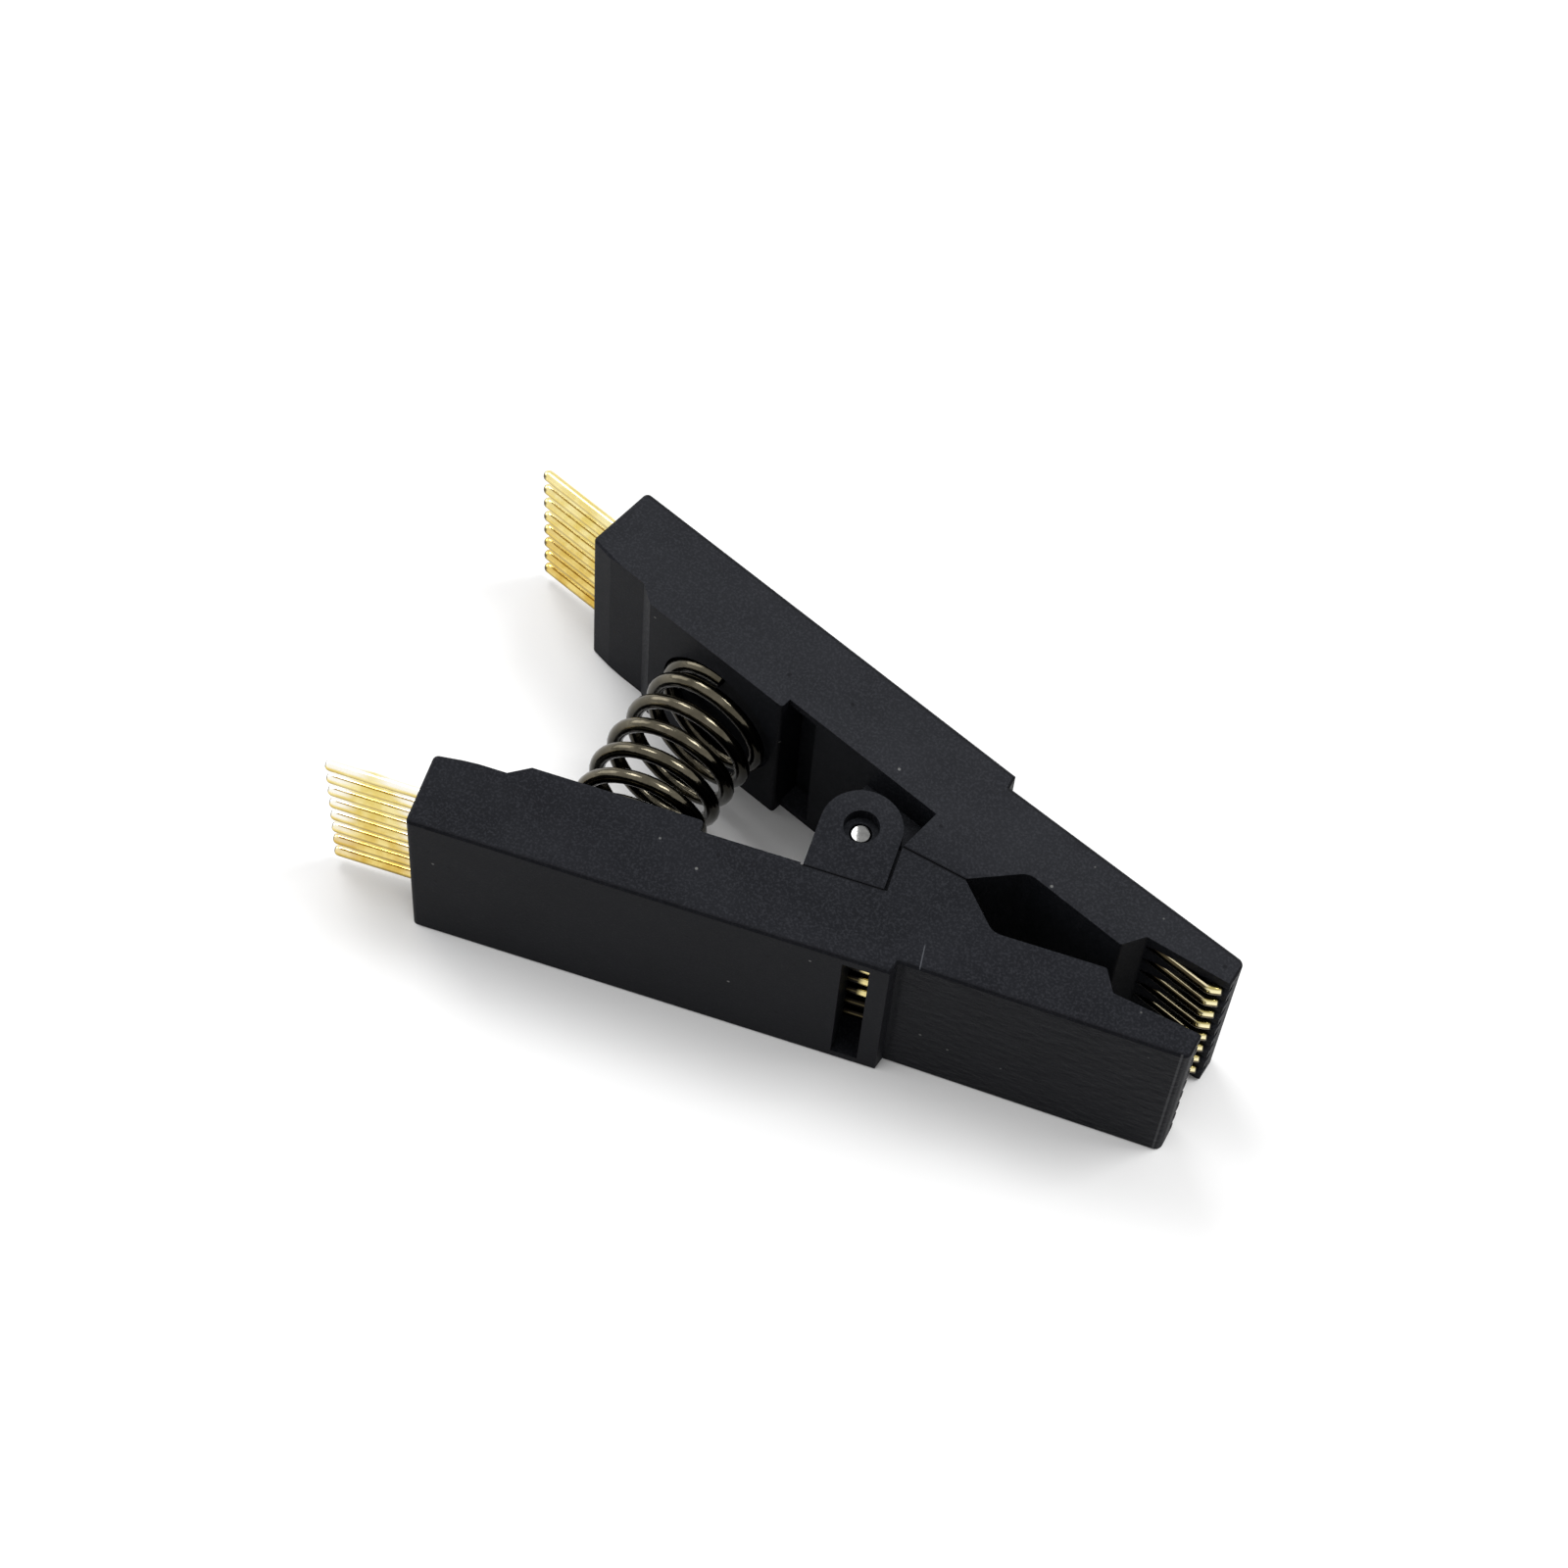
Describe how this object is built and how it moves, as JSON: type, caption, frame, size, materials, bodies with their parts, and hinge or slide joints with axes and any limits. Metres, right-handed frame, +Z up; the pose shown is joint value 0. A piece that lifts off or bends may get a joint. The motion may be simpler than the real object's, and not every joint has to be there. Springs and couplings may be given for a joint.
{
  "type": "ic test clip",
  "caption": "Sprung plastic test clip for a small outline chip: hinged arms with gold contact wires that end in header pins behind and hooked feet in the nose.",
  "frame": {"origin": "middle of the clip's box at the height of the side it rests on", "axes": "+X from the header pins to the nose, +Y from the near arm to the far arm, +Z up along the hinge pin"},
  "size_m": [0.0459, 0.0238, 0.0109],
  "materials": {
    "arm_plastic": "fine grained black moulding",
    "pin_steel": "bright drawn steel",
    "spring_steel": "dark oiled spring wire",
    "contact_gold": "gold plated wire"
  },
  "bodies": {
    "near_side": {"near_arm": "arm_plastic", "hinge_pin": "pin_steel", "spring": "spring_steel", "near_contact_1": "contact_gold", "near_contact_2": "contact_gold", "near_contact_3": "contact_gold", "near_contact_4": "contact_gold", "near_contact_5": "contact_gold", "near_contact_6": "contact_gold", "near_contact_7": "contact_gold", "near_contact_8": "contact_gold"},
    "far_side": {"far_arm": "arm_plastic", "far_contact_1": "contact_gold", "far_contact_2": "contact_gold", "far_contact_3": "contact_gold", "far_contact_4": "contact_gold", "far_contact_5": "contact_gold", "far_contact_6": "contact_gold", "far_contact_7": "contact_gold", "far_contact_8": "contact_gold"}
  },
  "joints": [
    {"name": "jaw_hinge", "type": "hinge", "parent": "near_side", "child": "far_side", "pos_m": [0.00266, 0, 0.00545], "axis": [0, 0, 1], "range_deg": [0, 20], "stiffness_Nm_per_rad": 0.45, "springref_deg": -13.75, "deforming": ["spring"]}
  ]
}
